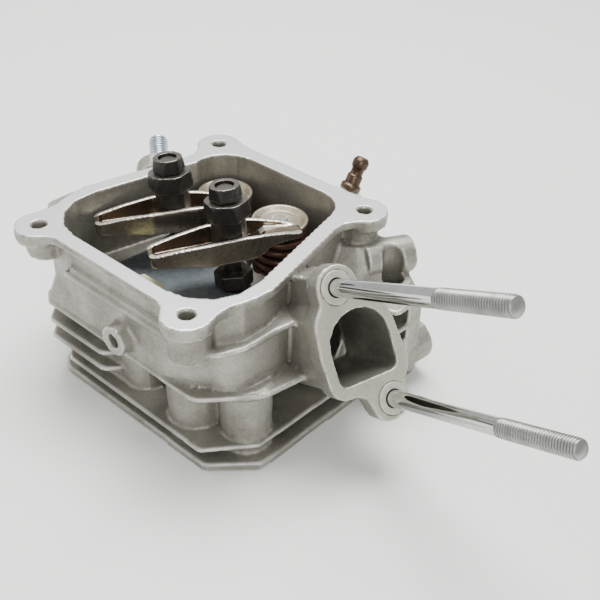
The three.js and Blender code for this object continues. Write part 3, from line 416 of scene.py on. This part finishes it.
# %% A threaded bar by geometry nodes
def threaded_bar_tree():
    tree = bpy.data.node_groups.new("threaded bar", "GeometryNodeTree")
    floats = {"Length": 0.08, "Radius": 0.003, "Pitch": 0.001, "Depth": 0.0003, "Thread Start": 0.0,
              "Chamfer": 0.0005, "Shank Scale": 1.0}
    for label, value in floats.items():
        socket = tree.interface.new_socket(label, in_out="INPUT", socket_type="NodeSocketFloat")
        socket.default_value = value
    for label in ("Shank Finish", "Thread Finish"):
        tree.interface.new_socket(label, in_out="INPUT", socket_type="NodeSocketMaterial")
    tree.interface.new_socket("Geometry", in_out="OUTPUT", socket_type="NodeSocketGeometry")
    given, out = tree.nodes.new("NodeGroupInput").outputs, tree.nodes.new("NodeGroupOutput")
    length, radius, pitch = given["Length"], given["Radius"], given["Pitch"]
    rings = maths(tree, "CEIL", maths(tree, "MULTIPLY", maths(tree, "DIVIDE", length, pitch), 6.0))
    bar = add_node(tree, "GeometryNodeMeshCylinder", {
        "Vertices": 32, "Side Segments": rings, "Radius": radius, "Depth": length}).outputs["Mesh"]
    x, y, z = point_parts(tree)
    along = maths(tree, "ADD", z, maths(tree, "MULTIPLY", length, 0.5))
    round_turn = maths(tree, "DIVIDE", maths(tree, "ARCTAN2", y, x), math.tau)
    turns = maths(tree, "SUBTRACT", maths(tree, "DIVIDE", along, pitch), round_turn)
    groove = maths(tree, "MULTIPLY", maths(tree, "PINGPONG", turns, 0.5), 2.0)
    soft = add_node(tree, "ShaderNodeMapRange", {
        "Value": groove, "From Min": 0.12, "From Max": 0.88}).outputs[0]
    begin = given["Thread Start"]
    on_thread = add_node(tree, "ShaderNodeMapRange", {
        "Value": along, "From Min": begin, "From Max": maths(tree, "ADD", begin, pitch)}).outputs[0]
    cut = maths(tree, "MULTIPLY", maths(tree, "MULTIPLY", soft, given["Depth"]), on_thread)
    shank = maths(tree, "MULTIPLY", radius, given["Shank Scale"])
    full = maths(tree, "ADD", shank, maths(tree, "MULTIPLY", maths(tree, "SUBTRACT", radius, shank), on_thread))
    cut_radius = maths(tree, "SUBTRACT", full, cut)
    to_end = maths(tree, "SUBTRACT", length, along)
    limit = maths(tree, "ADD", maths(tree, "SUBTRACT", radius, given["Chamfer"]), to_end)
    scale = maths(tree, "DIVIDE", maths(tree, "MINIMUM", cut_radius, limit), radius)
    place = add_node(tree, "ShaderNodeCombineXYZ", {
        "X": maths(tree, "MULTIPLY", x, scale), "Y": maths(tree, "MULTIPLY", y, scale), "Z": along}).outputs[0]
    moved = add_node(tree, "GeometryNodeSetPosition", {"Geometry": bar, "Position": place}).outputs[0]
    real = add_node(tree, "GeometryNodeRealizeInstances", {"Geometry": moved}).outputs[0]
    smooth = add_node(tree, "GeometryNodeSetShadeSmooth", {"Geometry": real}).outputs[0]
    plain = add_node(tree, "GeometryNodeSetMaterial", {
        "Geometry": smooth, "Material": given["Shank Finish"]}).outputs[0]
    z_now = point_parts(tree)[2]
    threaded = add_node(tree, "FunctionNodeCompare", {0: z_now, 1: begin}, operation="GREATER_THAN").outputs[0]
    done = add_node(tree, "GeometryNodeSetMaterial", {
        "Geometry": plain, "Selection": threaded, "Material": given["Thread Finish"]}).outputs[0]
    tree.links.new(done, out.inputs[0])
    return tree


def run_tree(name, tree, values):
    piece = new_object(name, bpy.data.meshes.new(name))
    modifier = piece.modifiers.new("tree", "NODES")
    modifier.node_group = tree
    sockets = {item.name: item.identifier for item in tree.interface.items_tree if item.in_out == "INPUT"}
    for label, value in values.items():
        modifier[sockets[label]] = value
    return baked(piece)


BAR_TREE = threaded_bar_tree()

# %% [markdown]
# Two long studs hold the carburettor: a bright ground shank, then a rolled thread over the last third.
# Two shorter zinc studs hold the exhaust, threaded all the way.


# %% The four flange studs
def flange_stud(node, face, u, v, inner, outer, slot, **sizes):
    piece = run_tree(node + "_piece", BAR_TREE, {"Length": inner + outer, **sizes})
    piece.data.transform(flange_matrix(*face, u, v) @ Matrix.Translation((0, 0, -inner)))
    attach(piece, "head")
    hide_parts(node)
    print(piece.name, len(piece.data.polygons), "faces")


for node, u, v in (("upper_intake_stud", 0, 0), ("lower_intake_stud", 11.3, -40.5)):
    flange_stud(node, INTAKE_FACE, u, v, 9 * MM, 79.5 * MM, "stud_chrome", **{
        "Radius": 2.95 * MM, "Pitch": 1.0 * MM, "Depth": 0.5 * MM, "Thread Start": 59.5 * MM,
        "Chamfer": 0.6 * MM, "Shank Scale": 0.966, "Shank Finish": CHROME, "Thread Finish": THREAD})
for node, u, v in (("upper_exhaust_stud", 0, 0), ("lower_exhaust_stud", -12, -35.5)):
    flange_stud(node, EXHAUST_FACE, u, v, 9 * MM, 15.5 * MM, "zinc_steel", **{
        "Radius": 3.9 * MM, "Pitch": 1.25 * MM, "Depth": 0.65 * MM, "Thread Start": 0.0,
        "Chamfer": 1.1 * MM, "Shank Scale": 1.0, "Shank Finish": ZINC, "Thread Finish": ZINC})

# %% [markdown]
# Turned pieces are a profile spun round an axis. The profile lists radius and height in millimetres,
# the spin has 64 steps, and a narrow bevel keeps the corners from looking cut with a knife.


# %% Turned pieces
def turned(name, profile, matrix, steps=64, bevel=0.12 * MM):
    shape = bmesh.new()
    closed = profile[0] == profile[-1]
    points = profile[:-1] if closed else profile
    rings = []
    for radius, height in points:
        if radius == 0:
            rings.append([shape.verts.new((0, 0, height * MM))])
            continue
        rings.append([shape.verts.new((radius * MM * math.cos(math.tau * k / steps),
                                       radius * MM * math.sin(math.tau * k / steps), height * MM))
                      for k in range(steps)])
    pairs = list(zip(rings, rings[1:])) + ([(rings[-1], rings[0])] if closed else [])
    for low, high in pairs:
        for k in range(steps):
            after = k + 1
            corners = [low[k % len(low)], low[after % len(low)], high[after % len(high)], high[k % len(high)]]
            corners = list(dict.fromkeys(corners))
            if len(corners) > 2:
                shape.faces.new(corners)
    bmesh.ops.recalc_face_normals(shape, faces=shape.faces)
    mesh = bpy.data.meshes.new(name)
    shape.to_mesh(mesh)
    shape.free()
    piece = new_object(name, mesh)
    soften(piece, bevel)
    mesh = piece.data
    mesh.transform(matrix)
    return piece


def soften(piece, width, angle=25, segments=2):
    bevel = piece.modifiers.new("bevel", "BEVEL")
    bevel.width = width
    bevel.segments = segments
    bevel.limit_method = "ANGLE"
    bevel.angle_limit = math.radians(angle)
    bevel.harden_normals = False
    baked(piece)
    piece.data.shade_smooth()
    return piece


valve_axis = {side: Matrix.Translation((x, VALVE_Y, 0)) for side, x in ROCKER_X.items()}
retainer_profile = [(3.05, 48.2), (5.2, 48.2), (6.2, 49.4), (10.2, 49.4), (10.4, 51.1), (10.1, 51.4),
                    (9.2, 51.4), (7.6, 50.0), (3.05, 50.2), (3.05, 48.2)]
for side in ("intake", "exhaust"):
    piece = turned(side + "_retainer_piece", retainer_profile, valve_axis[side])
    settle(piece, side + "_spring_retainer", side + "_valve_set", "retainer_steel", RETAINER)
collar_profile = [(3.2, -0.6), (5.4, -0.6), (5.4, 0.25), (5.1, 0.45), (3.2, 0.45), (3.2, -0.6)]
for node, u, v in (("upper_stud_collar", 0, 0), ("lower_stud_collar", 11.3, -40.5)):
    piece = turned(node + "_piece", collar_profile, flange_matrix(*INTAKE_FACE, u, v), bevel=0.06 * MM)
    settle(piece, node, "head", "collar_paint", COLLAR)

# %% [markdown]
# The spark plug shows only its top: white insulator and a brown, knobbed terminal that a cap snaps onto.
# The plug leans, so both are turned round the line from its tip to its end.

# %% The plug's visible end
PLUG_TIP, PLUG_END = Vector((4.5, 48, 3)) * MM, Vector((9.2, 75.6, 58.8)) * MM
plug_axis = (PLUG_END - PLUG_TIP).normalized()
plug_matrix = Matrix.Translation(PLUG_TIP) @ plug_axis.to_track_quat("Z", "Y").to_matrix().to_4x4()
top = (PLUG_END - PLUG_TIP).length / MM
terminal_profile = [(0, 12), (1.2, 12), (1.2, top - 13.7), (4.1, top - 13.7), (4.1, top - 11.6), (3.1, top - 11),
                    (3.1, top - 7.6), (2.5, top - 7.2), (2.5, top - 5), (3.2, top - 4), (3.2, top - 1.6),
                    (2.2, top - 0.2), (0, top)]
insulator_profile = [(1.5, 1), (2.2, 1), (3.8, 11.5), (3.9, 14.5), (5.6, 21.5), (5.6, top - 14),
                     (1.5, top - 14), (1.5, 1)]
settle(turned("terminal_piece", terminal_profile, plug_matrix, bevel=0.3 * MM),
       "spark_plug_terminal", "head", "terminal_brass", TERMINAL)
settle(turned("insulator_piece", insulator_profile, plug_matrix, bevel=0.3 * MM),
       "spark_plug_insulator", "head", "ceramic", CERAMIC)

# %% [markdown]
# A valve spring is a round wire swept along a helix. The coils lie closer at the two ends, where the real wire
# is wound flat so that the spring stands straight, and the tree eases the height along the wire to show it.


# %% Valve springs by geometry nodes
def coil_tree():
    tree = bpy.data.node_groups.new("coil spring", "GeometryNodeTree")
    for label, value in {"Coil Radius": 0.0088, "Wire Radius": 0.0013, "Height": 0.0172, "Turns": 5.0}.items():
        socket = tree.interface.new_socket(label, in_out="INPUT", socket_type="NodeSocketFloat")
        socket.default_value = value
    tree.interface.new_socket("Finish", in_out="INPUT", socket_type="NodeSocketMaterial")
    tree.interface.new_socket("Geometry", in_out="OUTPUT", socket_type="NodeSocketGeometry")
    given, out = tree.nodes.new("NodeGroupInput").outputs, tree.nodes.new("NodeGroupOutput")
    height = given["Height"]
    helix = add_node(tree, "GeometryNodeCurveSpiral", {
        "Resolution": 40, "Rotations": given["Turns"], "Start Radius": given["Coil Radius"],
        "End Radius": given["Coil Radius"], "Height": height}).outputs[0]
    x, y, z = point_parts(tree)
    eased = add_node(tree, "ShaderNodeMapRange", {
        "Value": z, "From Max": height, "To Max": height}, interpolation_type="SMOOTHSTEP").outputs[0]
    mixed = maths(tree, "ADD", maths(tree, "MULTIPLY", z, 0.78), maths(tree, "MULTIPLY", eased, 0.22))
    place = add_node(tree, "ShaderNodeCombineXYZ", {"X": x, "Y": y, "Z": mixed}).outputs[0]
    curve = add_node(tree, "GeometryNodeSetPosition", {"Geometry": helix, "Position": place}).outputs[0]
    ring = add_node(tree, "GeometryNodeCurvePrimitiveCircle", {
        "Resolution": 14, "Radius": given["Wire Radius"]}).outputs[0]
    wire = add_node(tree, "GeometryNodeCurveToMesh", {
        "Curve": curve, "Profile Curve": ring, "Fill Caps": True}).outputs[0]
    real = add_node(tree, "GeometryNodeRealizeInstances", {"Geometry": wire}).outputs[0]
    smooth = add_node(tree, "GeometryNodeSetShadeSmooth", {"Geometry": real}).outputs[0]
    done = add_node(tree, "GeometryNodeSetMaterial", {
        "Geometry": smooth, "Material": given["Finish"]}).outputs[0]
    tree.links.new(done, out.inputs[0])
    return tree


COIL_TREE = coil_tree()
for side in ("intake", "exhaust"):
    node = side + "_valve_spring"
    low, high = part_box(node)
    wire = 1.3 * MM
    piece = run_tree(node + "_piece", COIL_TREE, {
        "Coil Radius": 8.8 * MM, "Wire Radius": wire, "Height": high[2] - low[2] - 2 * wire - 0.1 * MM,
        "Turns": 5.0, "Finish": SPRING})
    piece.data.transform(Matrix.Translation((ROCKER_X[side], VALVE_Y, low[2] + wire + 0.05 * MM)))
    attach(piece, "head")
    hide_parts(node)
    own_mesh(piece)
    print(piece.name, len(piece.data.polygons), "faces")

# %% [markdown]
# Each rocker arm is pressed from sheet: a trough with a cup in its middle that rocks on a ball.
# Its rims, where they face up, carry a painted highlight, its inside is bronzed and its outer sides and
# undersides carry painted shade, so after remeshing each face is asked which way it looks in the arm's own frame.

# %% Rocker arms
ARM_VOXEL = 0.32 * MM
for side in ("intake", "exhaust"):
    arm = remeshed(side + "_rocker_arm", ARM_VOXEL, relax=8)
    back = rocker_matrix(side).inverted()
    turn = back.to_3x3()
    index = []
    for face in arm.data.polygons:
        place, normal = back @ face.center, turn @ face.normal
        outward = normal.y * place.y > 0 or abs(place.x) > 23.5 * MM and normal.x * place.x > 0
        # Upward faces at the rim get the painted highlight; outward sides and undersides get the painted shade.
        if normal.z > 0.45 and place.z > -1.5 * MM and abs(place.y) > 2.2 * MM:
            index.append(1)
        elif outward and abs(normal.z) < 0.8 or normal.z < -0.3:
            index.append(2)
        else:
            index.append(0)
    settle(arm, side + "_rocker_arm", side + "_rocker", "arm_steel", ARM_INSIDE, ARM_LIT_RIM, ARM_SHADED_SIDE)
    arm.data.polygons.foreach_set("material_index", index)

# %% [markdown]
# The ball pivots and lock nuts are black, with a painted highlight on the faces that look up their studs. Their
# studs come up through the nuts.

# %% Pivots, lock nuts and rocker studs
NUT_VOXEL = 0.25 * MM
for side in ("intake", "exhaust"):
    up = rocker_matrix(side).to_3x3() @ Vector((0, 0, 1))
    for part, body in (("rocker_pivot", "_pivot_set"), ("lock_nut", "_pivot_set"), ("rocker_stud", None)):
        node = side + "_" + part
        piece = remeshed(node, NUT_VOXEL, relax=3)
        # Faces that look up the stud take the lighter oxide, a painted highlight.
        index = [1 if face.normal.dot(up) > 0.9 else 0 for face in piece.data.polygons]
        settle(piece, node, side + body if body else "head", "black_oxide", BLACK_OXIDE, LIT_TOP)
        piece.data.polygons.foreach_set("material_index", index)

# %% [markdown]
# The smaller pieces down in the box are remeshed too, so that no sharp facet catches the light.

# %% Plate, block, cap and plug shell
for node, voxel, slot, material, body in (
    ("push_rod_guide_plate", 0.45, "blue_steel", PLATE, "head"),
    ("guide_block", 0.3, "guide_block", CREAM, "head"),
    ("exhaust_rotator_cap", 0.12, "bright_steel", GROUND, "exhaust_valve_set"),
    ("spark_plug_shell", 0.4, "zinc_steel", ZINC, "head"),
):
    settle(remeshed(node, voxel * MM, relax=3), node, body, slot, material)

# %% [markdown]
# What is left lies mostly out of sight and keeps its solid, with a proper finish for each slot.

# %% Finishes on the carried-over solids
SLOT_FINISH = {"bright_steel": GROUND, "sintered_iron": IRON, "blue_steel": PLATE, "seal_rubber": RUBBER,
               "zinc_steel": ZINC}
slots = {part["node"]: part["material_slot"] for part in frame["record"]["subparts"]}
shown = [name for name in slots if not bpy.data.objects[name].hide_render]
for name in shown:
    solid = bpy.data.objects[name]
    if slots[name] in SLOT_FINISH:
        if not solid.material_slots:
            solid.data.materials.append(None)
        for place in solid.material_slots:
            place.material = SLOT_FINISH[slots[name]]
print("carried over", shown)

# %% [markdown]
# The head stands on its gasket face on a pale sheet that runs up behind it, under soft, wide lights:
# one large panel overhead, one low at the left and a weak one at the right.


# %% Floor, lights and camera
def plain_material(name, colour, rough):
    material = bpy.data.materials.new(name)
    material.use_nodes = True
    shader = material.node_tree.nodes["Principled BSDF"]
    shader.inputs["Base Color"].default_value = (*colour, 1)
    shader.inputs["Roughness"].default_value = rough
    return material


floor_mesh = bpy.data.meshes.new("floor")
floor_mesh.from_pydata([(-3, -3, 0), (3, -3, 0), (3, 3, 0), (-3, 3, 0)], [], [(0, 1, 2, 3)])
floor = new_object("floor", floor_mesh)
floor.location.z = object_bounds()[0][2] - 0.0002
floor.data.materials.append(plain_material("pale sheet", (0.86, 0.86, 0.84), 0.5))

world = bpy.data.worlds.new("soft room")
world.use_nodes = True
world.node_tree.nodes["Background"].inputs["Color"].default_value = (0.92, 0.93, 0.92, 1)
world.node_tree.nodes["Background"].inputs["Strength"].default_value = 0.8
bpy.context.scene.world = world


def panel(name, place, size, power):
    light = bpy.data.lights.new(name, "AREA")
    light.shape = "RECTANGLE"
    light.size, light.size_y = size
    light.energy = power
    lamp = bpy.data.objects.new(name, light)
    lamp.location = place
    lamp.rotation_euler = (Vector((0, 0, 0.03)) - Vector(place)).to_track_quat("-Z", "Y").to_euler()
    bpy.context.scene.collection.objects.link(lamp)


panel("overhead panel", (-0.15, 0.25, 0.9), (0.7, 0.5), 17.0)
panel("left panel", (-0.7, -0.35, 0.45), (0.5, 0.4), 1.4)
panel("right panel", (0.6, -0.5, 0.5), (0.4, 0.4), 2.4)

camera = bpy.data.objects.new("camera", bpy.data.cameras.new("camera"))
right = Vector((0.74697, 0.664284, 0.027614))
down = Vector((0.407566, -0.424691, -0.80841))
ahead = Vector((-0.525287, 0.615113, -0.587971))
camera.matrix_world = Matrix.Translation((0.20110, -0.18404, 0.22331)) @ Matrix(
    (right, -down, -ahead)).transposed().to_4x4()
camera.data.lens = 55.148
camera.data.sensor_width = 36
camera.data.clip_start = 0.01
bpy.context.scene.collection.objects.link(camera)
bpy.context.scene.camera = camera
